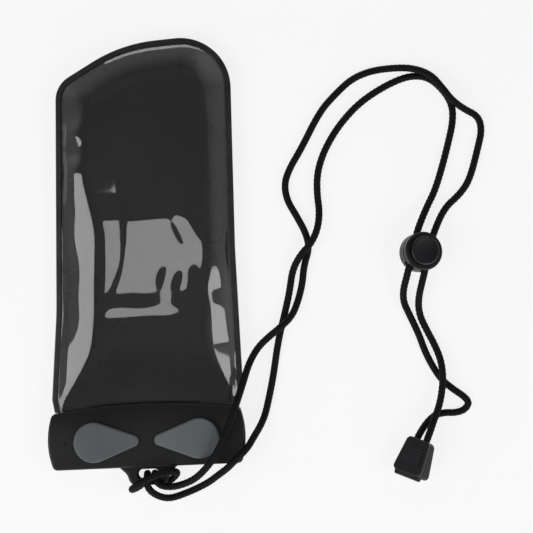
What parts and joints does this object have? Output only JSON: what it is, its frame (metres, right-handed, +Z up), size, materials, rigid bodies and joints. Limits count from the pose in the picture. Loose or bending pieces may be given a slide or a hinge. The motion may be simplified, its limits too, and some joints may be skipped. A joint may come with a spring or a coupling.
{
  "type": "waterproof phone case",
  "caption": "Soft clear pouch for a phone, shut by a cam-lever clip across its mouth, with a doubled neck cord, a sliding cord lock and a clamped cord end.",
  "frame": {"origin": "below the middle of the case without its cord, on the surface that it lies on", "axes": "+Y along the pouch, from the clip towards the rounded end; +Z up, out of the clear front"},
  "size_m": [0.2144, 0.221, 0.0193],
  "materials": {
    "clear_film": "clear gloss soft film",
    "dark_film": "gloss soft film",
    "weld": "gloss moulded bead",
    "jaw": "satin moulded",
    "lever": "satin moulded",
    "seal": "soft matte",
    "spindle": "satin moulded",
    "ring": "plain spring steel",
    "cord": "round braid",
    "lock": "satin moulded",
    "button": "semi-gloss moulded",
    "spring": "plain spring steel",
    "cord_end": "satin moulded",
    "pin": "satin moulded"
  },
  "bodies": {
    "case": {"front_window": "clear_film", "back_sheet": "dark_film", "welded_rim": "weld", "rear_jaw": "jaw", "neck_cord": "cord", "lock_body": "lock", "lock_spring": "spring", "cord_end_base": "cord_end", "cord_end_pin": "pin"},
    "front_clip_jaw": {"front_jaw": "jaw", "seal_strip": "seal"},
    "left_cam": {"left_lever": "lever", "left_spindle": "spindle", "left_split_ring": "ring"},
    "right_cam": {"right_lever": "lever", "right_spindle": "spindle", "right_split_ring": "ring"},
    "lock_plunger": {"lock_button": "button"},
    "end_lid": {"cord_end_lid": "cord_end"}
  },
  "joints": [
    {"name": "jaw_lift", "type": "slide", "parent": "case", "child": "front_clip_jaw", "axis": [0, 0, 1], "range_m": [0, 0.0012]},
    {"name": "left_lever_turn", "type": "hinge", "parent": "front_clip_jaw", "child": "left_cam", "pos_m": [-0.025, -0.08422, 0.0112], "axis": [0, 0, 1], "range_deg": [0, 180]},
    {"name": "right_lever_turn", "type": "hinge", "parent": "front_clip_jaw", "child": "right_cam", "pos_m": [0.025, -0.08422, 0.0112], "axis": [0, 0, 1], "range_deg": [-180, 0]},
    {"name": "lock_press", "type": "slide", "parent": "case", "child": "lock_plunger", "axis": [-0.2478, -0.1001, -0.9636], "range_m": [0, 0.0018], "stiffness_N_per_m": 800, "springref_m": -0.002, "deforming": ["lock_spring"]},
    {"name": "end_lid_turn", "type": "hinge", "parent": "case", "child": "end_lid", "pos_m": [0.12305, -0.10575, 0.01037], "axis": [0.7414, -0.2747, 0.6123], "range_deg": [0, 100]}
  ],
  "couplings": [
    {"joint": "jaw_lift", "follows": "left_lever_turn", "m_per_rad": 0.00038197},
    {"joint": "right_lever_turn", "follows": "left_lever_turn", "ratio": -1}
  ]
}
